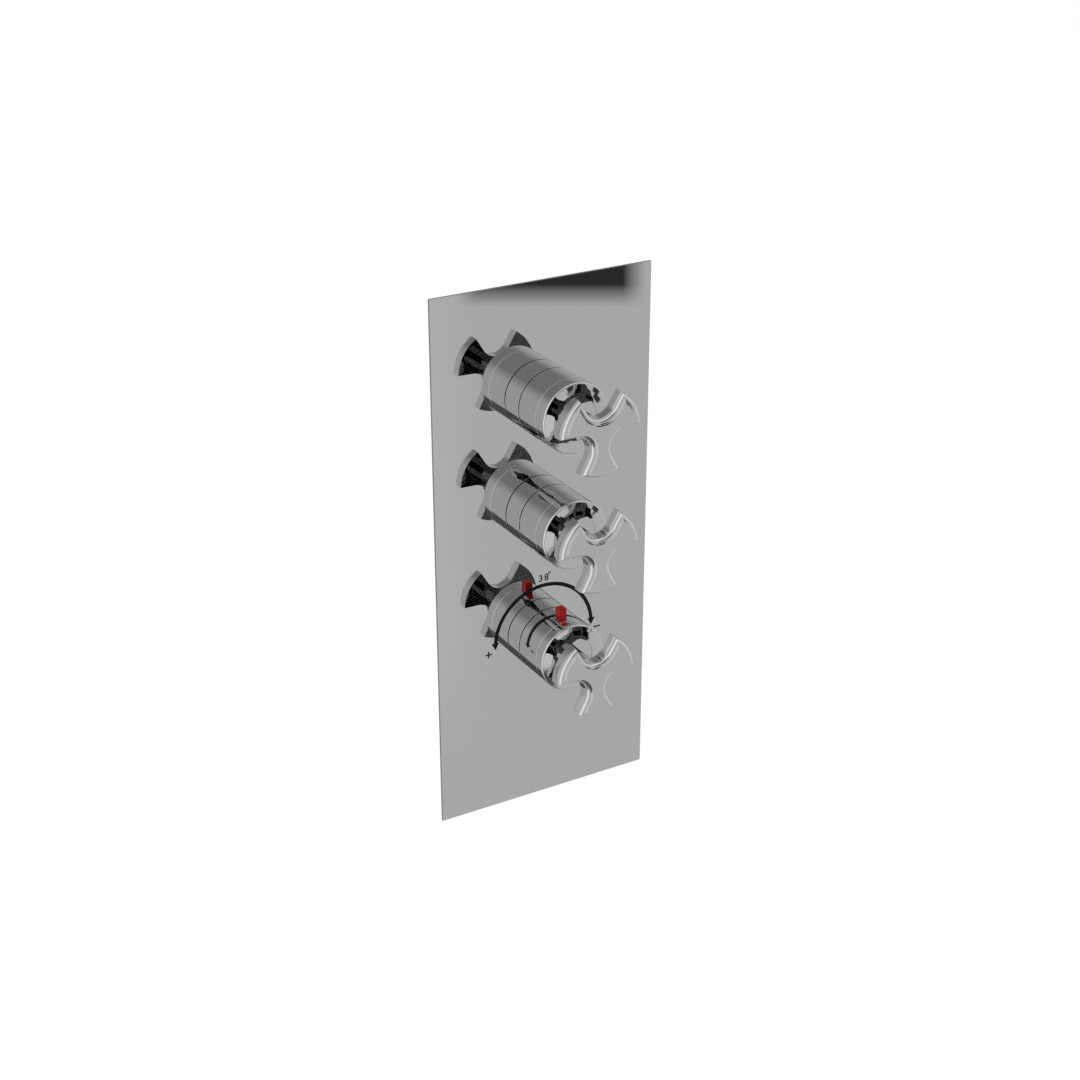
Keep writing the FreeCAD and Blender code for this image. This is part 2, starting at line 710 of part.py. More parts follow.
def make_temperature_handle():
    z = thermostat_height
    flange_front = -regulator_bore_front - touch_gap
    nose = turned(adjuster_thread_radius, nose_back, thrust_back, 0.0, z)
    thrust = turned(thrust_radius, thrust_back, flange_front, 0.0, z)
    clip_back = cartridge_neck_front + touch_gap
    shaft = turned(thermostat_spindle_radius, flange_front, spline_start, 0.0, z)
    drive = splined(spline_outer, spline_inner, spline_start, spline_end, z)
    clip_groove = thermostat_spindle_radius - ring_section
    spindle = nose.multiFuse([thrust, shaft, drive])
    spindle = spindle.cut(ring_groove(thermostat_spindle_radius, thermostat_spindle_ring_back, z))
    spindle = spindle.cut(tube(thermostat_spindle_radius + 1, clip_groove, clip_back,
                               clip_back + clip_thickness, 0.0, z))
    save("temperature_spindle", spindle)
    save("temperature_spindle_ring",
         sealing_ring(thermostat_spindle_radius, thermostat_spindle_ring_back, z))
    save("temperature_spindle_clip",
         clip_ring(clip_groove + touch_gap, clip_outer, clip_back + touch_gap,
                                               clip_back + clip_thickness - touch_gap, z))
    make_collar("temperature_collar", thermostat_collar_length, z)
    make_barrel("temperature_barrel", thermostat_collar_length, thermostat_barrel_reach, z, True)
    make_handle("temperature_handle", thermostat_barrel_reach, z)
    make_grub_screw("temperature_grub_screw", z)

    foot_top = z + barrel_radius - barrel_wall - button_foot_gap
    button_top = z + barrel_radius + button_proud
    foot_bottom = foot_top - button_foot_height
    key = Part.makeBox(button_side, button_side, button_top - foot_bottom,
                       Vector(-button_side / 2, -button_out - button_side / 2, foot_bottom))
    key = key.makeFillet(button_rounding,
                         [edge for edge in key.Edges if edge.BoundBox.ZMin > button_top - 0.01])
    foot = Part.makeBox(button_foot_side, button_foot_side, button_foot_height,
                        Vector(-button_foot_side / 2, -button_out - button_foot_side / 2, foot_bottom))
    leg = Part.makeBox(button_leg_side, button_out - button_leg_end, button_foot_height,
                       Vector(-button_leg_side / 2, -button_out, foot_bottom))
    save("stop_button", key.multiFuse([foot, leg]))
    spring_base = Vector(0, -button_out, z + hub_radius + touch_gap)
    spring_length = foot_bottom - z - hub_radius - 2 * touch_gap
    save("button_spring",
         coil(button_coil_radius, button_wire, spring_length, 5, spring_base, Vector(0, 0, 1)))


def make_inlets():
    """Check valve, filter and union for each supply; hot on the left, cold on the right."""
    y, z = inlet_depth, thermostat_height
    check_end = chamber_floor + check_length
    filter_near = check_end + touch_gap
    filter_far = filter_near + filter_length
    flange_near = inlet_boss_reach + washer_thickness
    outer = chamber_radius - fitting_clearance
    ring_near = check_end - 2 * check_wall - groove_width
    housings, filters, washers, rings = [], [], [], []
    for side, supply in ((-1, "hot"), (1, "cold")):
        spider_near = chamber_floor + spider_offset
        spider_far = spider_near + check_wall
        housing = sideways_tube(outer, check_bore_radius, chamber_floor + touch_gap, check_end,
                                side, y, z)
        seat = sideways_tube(outer, check_seat_radius, check_end - check_wall, check_end, side, y, z)
        spider = sideways_tube(check_bore_radius + 1, stem_radius + running_clearance, spider_near,
                               spider_far,
                               side, y, z)
        for number in range(4):
            angle = math.radians(90.0 * number + 45.0)
            offset = (check_bore_radius + stem_radius) / 2
            spider = spider.cut(sideways(check_wall, spider_near - 1, spider_far + 1, side,
                                         y + offset * math.cos(angle), z + offset * math.sin(angle)))
        groove = sideways_tube(outer + 1, chamber_radius - ring_section - 2 * touch_gap, ring_near,
                               ring_near + groove_width, side, y, z)
        housings.append(housing.multiFuse([seat, spider]).cut(groove))
        rings.append(sideways_tube(chamber_radius - touch_gap,
                                   chamber_radius - touch_gap - ring_section,
                                   ring_near + touch_gap, ring_near + groove_width - touch_gap,
                                   side, y, z))

        head_far = check_end - check_wall - touch_gap
        head_near = head_far - check_wall
        stem_near = chamber_floor + poppet_travel + 2 * fitting_clearance
        poppet = sideways(poppet_radius, head_near, head_far, side, y, z)
        stem = sideways(stem_radius, stem_near, head_near, side, y, z)
        save(supply + "_poppet", poppet.fuse(stem))
        spring_base = Vector(side * (spider_far + touch_gap), y, z)
        save(supply + "_check_spring",
             coil(check_coil_radius, check_wire, head_near - spider_far - 2 * touch_gap,
                                            3, spring_base, Vector(side, 0, 0)))

        rim = sideways_tube(outer, outer - filter_rim, filter_near, filter_far, side, y, z)
        mesh = sideways(outer - filter_rim / 2, filter_near, filter_near + mesh_thickness, side, y, z)
        reach = int((outer - filter_rim) / mesh_pitch)
        for row in range(-reach, reach + 1):
            for column in range(-reach, reach + 1):
                a, b = row * mesh_pitch, column * mesh_pitch
                if math.hypot(a, b) < outer - filter_rim - mesh_hole_radius:
                    mesh = mesh.cut(sideways(mesh_hole_radius, filter_near - 1, filter_near + 2,
                                             side, y + a, z + b))
        filters.append(rim.fuse(mesh))

        washers.append(sideways_tube(inlet_boss_radius - fitting_clearance, chamber_radius,
                                     inlet_boss_reach,
                                     flange_near, side, y, z))
        spigot = sideways(outer, filter_far + touch_gap, flange_near, side, y, z)
        hexagon = hexagon_sideways(union_hex_flats, flange_near, flange_near + union_hex_length,
                                   side, y, z)
        socket = sideways(union_socket_radius, flange_near + union_hex_length, union_reach, side, y, z)
        union = spigot.multiFuse([hexagon, socket])
        union = union.cut(sideways(waterway_radius, filter_far, union_reach, side, y, z))
        union = union.cut(sideways(pipe_thread_radius, union_reach - pipe_thread_length,
                                   union_reach + 1, side, y, z))
        save(supply + "_inlet_union", union)
    save("check_valve_housings", *housings)
    save("check_valve_rings", *rings)
    save("inlet_filters", *filters)

    plug_face = column_half_width + outlet_reach
    washers.append(sideways_tube(outlet_boss_radius - fitting_clearance, pipe_thread_radius, plug_face,
                                 plug_face + washer_thickness, -1, outlet_depth, flow_heights[1]))
    save("fibre_washers", *washers)
    head_near = plug_face + washer_thickness
    thread = sideways(pipe_thread_radius - fitting_clearance, plug_face - plug_depth, head_near, -1,
                      outlet_depth, flow_heights[1])
    head = hexagon_sideways(plug_hex_flats, head_near, head_near + plug_hex_length, -1, outlet_depth,
                            flow_heights[1])
    save("blanking_plug", thread.fuse(head))


os.makedirs("parts", exist_ok=True)
make_faceplate()
make_body()
make_brackets()
make_shrouds()
make_flow_pairs()
for index, flow_height in enumerate(flow_heights):
    make_flow_station(index + 1, flow_height)
make_thermostat_cartridge()
make_regulator()
make_temperature_handle()
make_inlets()
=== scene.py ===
import math

import bmesh
import bpy
from mathutils import Matrix, Vector


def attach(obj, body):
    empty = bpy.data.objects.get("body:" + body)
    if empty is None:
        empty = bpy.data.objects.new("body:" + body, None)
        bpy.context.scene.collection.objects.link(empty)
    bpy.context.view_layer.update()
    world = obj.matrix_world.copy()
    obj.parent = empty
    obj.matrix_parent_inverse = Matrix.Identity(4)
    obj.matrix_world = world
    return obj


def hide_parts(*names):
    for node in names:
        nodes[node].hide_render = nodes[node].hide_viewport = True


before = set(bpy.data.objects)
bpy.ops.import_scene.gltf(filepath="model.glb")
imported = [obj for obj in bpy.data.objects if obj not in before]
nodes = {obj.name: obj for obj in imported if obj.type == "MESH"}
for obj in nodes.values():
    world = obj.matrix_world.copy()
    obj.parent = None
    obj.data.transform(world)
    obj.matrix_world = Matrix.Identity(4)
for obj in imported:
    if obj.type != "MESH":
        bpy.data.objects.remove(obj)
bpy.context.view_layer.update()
bpy.ops.object.select_all(action="DESELECT")

# The camera stands about a metre in front of the valve, to the user's left and above the
# top control, and looks down on it through a slightly long lens.
bpy.ops.object.camera_add(location=(-0.480593, -0.828778, 0.452476))
camera = bpy.context.object
heading = Matrix.Rotation(math.radians(-30.0612), 3, "Z")
tilt = Matrix.Rotation(math.radians(90 - 25.0344), 3, "X")
roll = Matrix.Rotation(math.radians(-0.1009), 3, "Z")
camera.rotation_euler = (heading @ tilt @ roll).to_euler()
camera.data.sensor_width = 36.0
camera.data.lens = 64.703
camera.data.clip_end = 50.0
bpy.context.scene.camera = camera
bpy.context.scene.view_settings.view_transform = "Standard"


# The brass body is a sand casting with a fine grain on its skin, a little darker where the
# mould was rough. The pipe ends and bosses are machined afterwards.
class Reading:
    """One value on its way through a finish. Arithmetic on it adds the Math nodes."""

    def __init__(self, finish, socket):
        self.finish = finish
        self.socket = socket

    def math(self, operation, *others):
        inputs = dict(enumerate((self,) + others))
        return self.finish.node("ShaderNodeMath", {"operation": operation}, inputs)

    def __add__(self, other):
        return self.math("ADD", other)

    def __sub__(self, other):
        return self.math("SUBTRACT", other)

    def __rsub__(self, other):
        return self.finish.node("ShaderNodeMath", {"operation": "SUBTRACT"}, {0: other, 1: self})

    def __mul__(self, other):
        return self.math("MULTIPLY", other)

    def __truediv__(self, other):
        return self.math("DIVIDE", other)

    def held(self):
        """The value kept between 0 and 1."""
        return self.finish.node("ShaderNodeClamp", {}, {"Value": self})

    __radd__ = __add__


class Finish:
    """A finish for one kind of surface: a node tree and the calls that add to it."""

    def __init__(self, tree):
        self.tree = tree

    def node(self, kind, settings, inputs, output=0):
        """Adds a node with its settings and inputs, and gives back one of its outputs."""
        node = self.tree.nodes.new(kind)
        for name, value in settings.items():
            setattr(node, name, value)
        for name, value in inputs.items():
            self.feed(node.inputs[name], value)
        return Reading(self, node.outputs[output])

    def feed(self, socket, value):
        """Links a socket to a reading, or sets it to a plain value."""
        if isinstance(value, Reading):
            self.tree.links.new(value.socket, socket)
        else:
            socket.default_value = value


class Surface(Finish):
    """A material with one Principled shader, whose varying sockets are fed by name."""

    def __init__(self, name, **constants):
        self.material = bpy.data.materials.new(name)
        self.material.use_nodes = True
        super().__init__(self.material.node_tree)
        self.shader = self.tree.nodes["Principled BSDF"]
        self.place = self.node("ShaderNodeTexCoord", {}, {}, output="Object")
        self.set(**constants)

    def set(self, **values):
        """Feeds the shader's sockets, named in lower case with underscores."""
        for name, value in values.items():
            socket_name = name.replace("_", " ").title().replace("Ior", "IOR")
            self.feed(self.shader.inputs[socket_name], value)

    def noise(self, scale, detail=2.0, roughness=0.5):
        """A cloudy pattern from 0 to 1, with so many clouds to the metre."""
        inputs = {"Vector": self.place, "Scale": scale, "Detail": detail, "Roughness": roughness}
        return self.node("ShaderNodeTexNoise", {}, inputs)

    def blend(self, share, first, second):
        """Two colours mixed by a share from 0 to 1."""
        inputs = {"Factor": share, 6: first, 7: second}
        return self.node("ShaderNodeMix", {"data_type": "RGBA"}, inputs, output=2)

    def relief(self, height, depth):
        """Bumps of the given depth in metres."""
        self.set(normal=self.node("ShaderNodeBump", {}, {"Height": height, "Distance": depth}))

    def put_on(self, *names):
        """Gives this finish to the frame's own pieces."""
        for name in names:
            for slot in nodes[name].material_slots:
                slot.material = self.material


cast_brass = Surface("cast_brass", metallic=1.0)
grain = cast_brass.noise(900.0, 4.0, 0.7)
patches = cast_brass.noise(60.0, 3.0)
cast_brass.set(
    base_color=cast_brass.blend((patches * 1.6 - 0.3).held(), (0.50, 0.34, 0.13, 1), (0.66, 0.50, 0.24, 1)),
    roughness=0.36 + grain * 0.22,
)
cast_brass.relief(grain, 0.00012)
cast_brass.put_on("valve_body")

# The wall straps are pressed from zinc-plated steel sheet, and countersunk screws of the same
# finish hold them to the back of the body.
zinc_steel = Surface("zinc_steel", metallic=1.0)
spangle = zinc_steel.node(
    "ShaderNodeTexVoronoi", {}, {"Vector": zinc_steel.place, "Scale": 300.0}, output="Color"
)
cloud = zinc_steel.noise(120.0, 3.0)
zinc_steel.set(
    base_color=zinc_steel.blend((cloud * 1.4 - 0.2).held(), (0.50, 0.52, 0.54, 1), (0.68, 0.69, 0.69, 1)),
    roughness=0.28 + spangle * 0.12 + cloud * 0.08,
)
zinc_steel.relief(cloud, 0.00003)
zinc_steel.put_on("wall_brackets", "bracket_screws")

# Unions, plug, nuts, spindles and cartridge shells are turned from brass bar, which leaves a
# fine, uneven grain of tool marks and a light tarnish.
turned_brass = Surface("turned_brass", metallic=1.0)
tool_marks = turned_brass.noise(2500.0, 1.0)
tarnish = turned_brass.noise(45.0, 4.0)
turned_brass.set(
    base_color=turned_brass.blend(
        (tarnish * 1.6 - 0.3).held(), (0.60, 0.42, 0.17, 1), (0.80, 0.62, 0.30, 1)
    ),
    roughness=0.18 + tool_marks * 0.12 + tarnish * 0.06,
)
turned_brass.relief(tool_marks, 0.00001)
turned_brass.put_on(
    "flow_retaining_nuts", "thermostat_retaining_nut", "flow_1_cartridge", "flow_2_cartridge",
    "thermostat_cartridge", "flow_1_spindle", "flow_2_spindle", "temperature_spindle", "pin_seat",
    "hot_inlet_union", "cold_inlet_union", "blanking_plug",
)

# Springs, clips, grub screws and the inlet filters are bright stainless steel, drawn or stamped.
spring_steel = Surface("spring_steel", metallic=1.0)
draw_marks = spring_steel.noise(1800.0, 2.0)
spring_steel.set(
    base_color=spring_steel.blend(draw_marks, (0.44, 0.44, 0.45, 1), (0.62, 0.62, 0.63, 1)),
    roughness=0.2 + draw_marks * 0.16,
)
spring_steel.put_on(
    "overload_spring", "seat_clip", "return_spring", "temperature_spindle_clip", "temperature_grub_screw",
    "button_spring", "hot_check_spring", "cold_check_spring", "inlet_filters", "flow_1_spindle_clip",
    "flow_2_spindle_clip", "flow_1_grub_screw", "flow_2_grub_screw",
)

# The wax element's capsule is bare copper, darkened a little by hot water.
copper = Surface("copper_capsule", metallic=1.0)
oxide = copper.noise(220.0, 4.0)
copper.set(
    base_color=copper.blend((oxide * 1.8 - 0.4).held(), (0.45, 0.20, 0.11, 1), (0.80, 0.46, 0.28, 1)),
    roughness=0.25 + oxide * 0.2,
)
copper.put_on("wax_element")

# The discs that open and close the flow are lapped alumina, satin white and faintly mottled.
alumina = Surface("alumina", ior=1.76)
mottle = alumina.noise(700.0, 3.0)
alumina.set(
    base_color=alumina.blend(mottle, (0.84, 0.83, 0.79, 1), (0.93, 0.92, 0.89, 1)),
    roughness=0.16 + mottle * 0.14,
)
alumina.put_on("flow_fixed_discs", "flow_1_moving_disc", "flow_2_moving_disc")

# Sealing rings and the foam sheet behind the plate are black, the rings smooth and the foam
# with small closed cells.
rubber = Surface("black_rubber")
bloom = rubber.noise(400.0, 3.0)
rubber.set(
    base_color=rubber.blend(bloom, (0.012, 0.012, 0.012, 1), (0.03, 0.03, 0.031, 1)),
    roughness=0.42 + bloom * 0.2,
)
rubber.put_on(
    "shroud_seals", "flow_seat_seals", "flow_cartridge_rings", "thermostat_rings", "check_valve_rings",
    "temperature_spindle_ring", "flow_1_spindle_ring", "flow_2_spindle_ring",
)

foam = Surface("black_foam", roughness=0.9)
cells = foam.node("ShaderNodeTexVoronoi", {}, {"Vector": foam.place, "Scale": 1400.0})
foam.set(base_color=foam.blend(cells, (0.016, 0.016, 0.017, 1), (0.055, 0.055, 0.056, 1)))
foam.relief(cells, 0.0002)
foam.put_on("faceplate_seal")

# The carriers, stop ring and adjuster nut are moulded in glass-filled black nylon, and the
# shuttle, poppets and check valve housings in white acetal.
nylon = Surface("black_nylon")
fibre = nylon.noise(1500.0, 3.0, 0.7)
nylon.set(
    base_color=nylon.blend(fibre, (0.018, 0.018, 0.02, 1), (0.045, 0.045, 0.047, 1)),
    roughness=0.38 + fibre * 0.25,
)
nylon.relief(fibre, 0.00003)
nylon.put_on("shroud_carriers", "stop_ring", "adjuster_nut")

acetal = Surface("white_acetal")
flow_lines = acetal.noise(150.0, 2.0)
acetal.set(
    base_color=acetal.blend(flow_lines, (0.80, 0.80, 0.77, 1), (0.88, 0.88, 0.86, 1)),
    roughness=0.26 + flow_lines * 0.12,
)
acetal.put_on("mixing_shuttle", "hot_poppet", "cold_poppet", "check_valve_housings")

# The washers under the unions and the plug are punched from pressed red fibre sheet.
red_fibre = Surface("red_fibre")
flecks = red_fibre.noise(1200.0, 4.0, 0.7)
red_fibre.set(
    base_color=red_fibre.blend(flecks, (0.30, 0.05, 0.035, 1), (0.52, 0.13, 0.09, 1)),
    roughness=0.6 + flecks * 0.25,
)
red_fibre.relief(flecks, 0.00005)
red_fibre.put_on("fibre_washers")

# The faceplate is a sheet of thin steel, polished flat and chromed to a mirror, with three
# round holes under the collars. Faces that look at the wall are painted darker: painted shade for the unlit
# gap they face.
mirror_chrome = Surface("mirror_chrome", metallic=1.0)
wipe_marks = mirror_chrome.noise(30.0, 3.0)
haze = mirror_chrome.noise(400.0, 2.0)
facing = mirror_chrome.node("ShaderNodeNewGeometry", {}, {}, output="Normal")
wallward_shade_mask = mirror_chrome.node("ShaderNodeSeparateXYZ", {}, {"Vector": facing}, output="Y")
bright_side = mirror_chrome.blend(wipe_marks, (0.708, 0.711, 0.715, 1), (0.728, 0.729, 0.730, 1))
# Painted shade: faces turned to the wall get this dark colour in place of the chrome.
painted_shade_wall_side = (0.14, 0.14, 0.145, 1)
mirror_chrome.set(
    base_color=mirror_chrome.blend(((wallward_shade_mask - 0.9) / 0.08).held(), bright_side, painted_shade_wall_side),
    roughness=0.004 + wipe_marks * 0.006 + haze * 0.004,
)
control_heights = (0.088, 0.022, -0.052)
plate_width, plate_thickness, plate_height = 0.1315, 0.0015, 0.306
plate_middle = -0.00175
control_hole_radius = 0.0165


def smooth(piece, degrees):
    """Smooth shading that keeps the edges sharper than the angle, and the large faces flat."""
    bpy.ops.object.select_all(action="DESELECT")
    piece.select_set(True)
    bpy.context.view_layer.objects.active = piece
    bpy.ops.object.shade_smooth_by_angle(angle=math.radians(degrees))
    weighted = piece.modifiers.new("even", "WEIGHTED_NORMAL")
    weighted.keep_sharp = True
    weighted.weight = 100
    bpy.ops.object.modifier_apply(modifier="even")


def carve(piece, cutter, operation="DIFFERENCE"):
    """Cuts a piece with another, or joins or intersects the two. The other is used up."""
    bpy.ops.object.select_all(action="DESELECT")
    bpy.context.view_layer.objects.active = piece
    boolean = piece.modifiers.new("carve", "BOOLEAN")
    boolean.operation = operation
    boolean.solver = "EXACT"
    boolean.object = cutter
    bpy.ops.object.modifier_apply(modifier="carve")
    bpy.data.objects.remove(cutter)


def settle(piece, name, finish):
    """Names a finished piece, puts its place into its mesh and gives it its finish."""
    piece.name = name
    piece.data.name = name
    bpy.ops.object.select_all(action="DESELECT")
    piece.select_set(True)
    bpy.context.view_layer.objects.active = piece
    bpy.ops.object.transform_apply(location=True, rotation=True, scale=True)
    piece.data.materials.clear()
    piece.data.materials.append(finish.material)


bpy.ops.mesh.primitive_cube_add(
    size=1.0, location=(0, plate_middle, 0), scale=(plate_width, plate_thickness, plate_height)
)
faceplate = bpy.context.object
bpy.ops.object.transform_apply(location=True, rotation=False, scale=True)
for height in control_heights:
    bpy.ops.mesh.primitive_cylinder_add(
        vertices=96, radius=control_hole_radius, depth=0.01,
        location=(0, plate_middle, height), rotation=(math.pi / 2, 0, 0),
    )
    carve(faceplate, bpy.context.object)
bevel = faceplate.modifiers.new("edges", "BEVEL")
bevel.width = 0.00015
bevel.segments = 2
bevel.limit_method = "ANGLE"
bpy.ops.object.modifier_apply(modifier="edges")
smooth(faceplate, 50)
settle(faceplate, "mirror_faceplate", mirror_chrome)
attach(faceplate, "base")
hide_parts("faceplate")

# The temperature scale is printed on the plate in black: an arc with an arrow at each end,
# a plus for hotter, a minus for colder and the set temperature over the top.
ink = Surface("black_ink", specular_ior_level=0.15)
print_grain = ink.noise(3000.0, 2.0)
ink.set(
    base_color=ink.blend(print_grain, (0.003, 0.003, 0.003, 1), (0.008, 0.008, 0.008, 1)),
    roughness=0.38 + print_grain * 0.15,
)
ink_plane = -0.00252
ink_depth = 0.00002
scale_centre = control_heights[2]


def stroke_start(first, second):
    """A single edge between two points in edit mode, ready to be swept."""
    bpy.ops.mesh.primitive_plane_add(size=0.001)
    edge_piece = bpy.context.object
    bpy.ops.object.mode_set(mode="EDIT")
    mesh = bmesh.from_edit_mesh(edge_piece.data)
    bmesh.ops.delete(mesh, geom=mesh.verts[2:], context="VERTS")
    mesh.verts.ensure_lookup_table()
    mesh.verts[0].co = first
    mesh.verts[1].co = second
    bmesh.update_edit_mesh(edge_piece.data)
    bpy.ops.mesh.select_all(action="SELECT")
    return edge_piece


def thicken(piece, depth):
    """Gives a flat print a thin, closed body."""
    solid = piece.modifiers.new("ink", "SOLIDIFY")
    solid.thickness = depth
    solid.offset = 0.0
    bpy.context.view_layer.objects.active = piece
    bpy.ops.object.modifier_apply(modifier="ink")


arc_end = math.radians(4.9)
arc_inner, arc_outer = 0.02960, 0.03180
arrow_half_width, arrow_length = 0.0024, 0.0044
first, second = (
    Vector((radius * math.cos(arc_end), ink_plane, scale_centre + radius * math.sin(arc_end)))
    for radius in (arc_inner, arc_outer)
)
scale_arc = stroke_start(first, second)
bpy.ops.mesh.spin(
    steps=96, angle=math.pi - 2 * arc_end, center=(0, ink_plane, scale_centre), axis=(0, 1, 0)
)
mesh = bmesh.from_edit_mesh(scale_arc.data)
shoulder_height = scale_centre + arc_outer * math.sin(arc_end)
for side in (-1, 1):
    middle = side * (arc_inner + arc_outer) / 2
    tip = mesh.verts.new((middle, ink_plane, shoulder_height - arrow_length))
    inner_corner = mesh.verts.new((middle - side * arrow_half_width, ink_plane, shoulder_height))
    outer_corner = mesh.verts.new((middle + side * arrow_half_width, ink_plane, shoulder_height))
    mesh.faces.new((tip, outer_corner, inner_corner))
bmesh.update_edit_mesh(scale_arc.data)
bpy.ops.mesh.select_all(action="SELECT")
bpy.ops.mesh.normals_make_consistent(inside=False)
bpy.ops.object.mode_set(mode="OBJECT")
thicken(scale_arc, ink_depth)
settle(scale_arc, "scale_arc", ink)
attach(scale_arc, "base")

for name, letters, across, up, size in (
    ("scale_temperature", "38", -0.00005, 0.0352, 0.0056),
    ("scale_plus", "+", -0.0350, -0.0034, 0.0082),
    ("scale_minus", "\u2212", 0.0345, -0.0037, 0.0088),
):
    bpy.ops.object.text_add(rotation=(math.pi / 2, 0, 0))
    lettering = bpy.context.object
    lettering.data.body = letters
    lettering.data.size = size
    lettering.data.space_character = 1.3
    lettering.data.offset = 0.00009
    lettering.data.resolution_u = 6
    bpy.ops.object.convert(target="MESH")
    lettering = bpy.context.object
    box = [lettering.matrix_world @ Vector(corner) for corner in lettering.bound_box]
    lettering.location = Vector((across, ink_plane, scale_centre + up)) - sum(box, Vector()) / 8
    thicken(lettering, ink_depth)
    settle(lettering, name, ink)
    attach(lettering, "base")

# The degree sign is a small printed ring beside the figures.
sign_across = 0.0035
sign_height = scale_centre + 0.0374
sign_inner, sign_outer = 0.0005, 0.0009
ring_start = Vector((sign_across + sign_inner, ink_plane, sign_height))
ring_end = Vector((sign_across + sign_outer, ink_plane, sign_height))
degree_sign = stroke_start(ring_start, ring_end)
bpy.ops.mesh.spin(
    steps=24, angle=2 * math.pi, center=(sign_across, ink_plane, sign_height), axis=(0, 1, 0)
)
bpy.ops.mesh.select_all(action="SELECT")
bpy.ops.mesh.remove_doubles(threshold=0.00001)
bpy.ops.mesh.normals_make_consistent(inside=False)
bpy.ops.object.mode_set(mode="OBJECT")
thicken(degree_sign, ink_depth)
settle(degree_sign, "scale_degree_sign", ink)
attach(degree_sign, "base")

# A turned brass ring, chromed over its fine tool lines, stands against the plate round each
# control. It screws on to the carrier behind and stays still while the handle turns.
turned_chrome = Surface("turned_chrome", metallic=1.0)
along_axis = turned_chrome.node(
    "ShaderNodeSeparateXYZ", {}, {"Vector": turned_chrome.place}, output="Y"
)
tool_lines = turned_chrome.node(
    "ShaderNodeTexNoise", {"noise_dimensions": "1D"},
    {"W": along_axis, "Scale": 2600.0, "Detail": 3.0}, output="Fac",
)
turned_chrome.set(
    base_color=turned_chrome.blend(tool_lines, (0.66, 0.663, 0.667, 1), (0.76, 0.762, 0.765, 1)),
    roughness=0.012 + tool_lines * 0.025,
)
turned_chrome.relief(tool_lines, 0.000004)
stems = ("flow_1", "flow_2", "temperature")
barrel_radius = 0.0194
collar_bore = 0.01545
collar_back = 0.0025
collar_fronts = (0.00935, 0.00935, 0.00825)


def pick_faces(piece, test):
    """Selects the faces whose middle and normal pass the test, in edit mode."""
    bpy.ops.mesh.select_all(action="DESELECT")
    bpy.ops.mesh.select_mode(type="FACE")
    mesh = bmesh.from_edit_mesh(piece.data)
    for face in mesh.faces:
        face.select_set(test(face.calc_center_median(), face.normal))
    bmesh.update_edit_mesh(piece.data)


def pick_rings(piece, test):
    """Selects the edges whose two ends pass the test, in edit mode."""
    bpy.ops.mesh.select_all(action="DESELECT")
    bpy.ops.mesh.select_mode(type="EDGE")
    mesh = bmesh.from_edit_mesh(piece.data)
    for edge in mesh.edges:
        edge.select_set(all(test(vertex.co) for vertex in edge.verts))
    bmesh.update_edit_mesh(piece.data)


def round_bar(radius, back, front, height, sides=192):
    """A bar square to the wall between two distances out from it, in edit mode."""
    bpy.ops.object.select_all(action="DESELECT")
    bpy.ops.mesh.primitive_cylinder_add(
        vertices=sides, radius=radius, depth=front - back,
        location=(0, -(front + back) / 2, height), rotation=(math.pi / 2, 0, 0),
    )
    bar = bpy.context.object
    bpy.ops.object.transform_apply(location=True, rotation=True, scale=False)
    bpy.ops.object.mode_set(mode="EDIT")
    return bar


def from_axis(point, height):
    """How far a point is from the axis of the control at that height."""
    return math.hypot(point.x, point.z - height)


def outside_ring(height, out):
    """A test for points on the outside of a collar or barrel, so far out from the wall."""
    nearly = 0.0001
    return lambda point: (
        from_axis(point, height) > barrel_radius - nearly and abs(point.y + out) < nearly
    )


for stem, height, front in zip(stems, control_heights, collar_fronts):
    collar = round_bar(barrel_radius, collar_back, front, height)
    pick_faces(collar, lambda middle, normal: abs(normal.y) > 0.9)
    bpy.ops.mesh.inset(thickness=barrel_radius - collar_bore, use_individual=True)
    bpy.ops.mesh.delete(type="FACE")
    pick_rings(collar, lambda point: abs(from_axis(point, height) - collar_bore) < 0.0001)
    bpy.ops.mesh.bridge_edge_loops()
    pick_rings(collar, outside_ring(height, front))
    bpy.ops.mesh.bevel(offset=0.00012, segments=3, affect="EDGES")
    bpy.ops.mesh.select_all(action="SELECT")
    bpy.ops.mesh.normals_make_consistent(inside=False)
    bpy.ops.object.mode_set(mode="OBJECT")
    smooth(collar, 40)
    settle(collar, stem + "_chrome_collar", turned_chrome)
    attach(collar, "base")
    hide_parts(stem + "_collar")

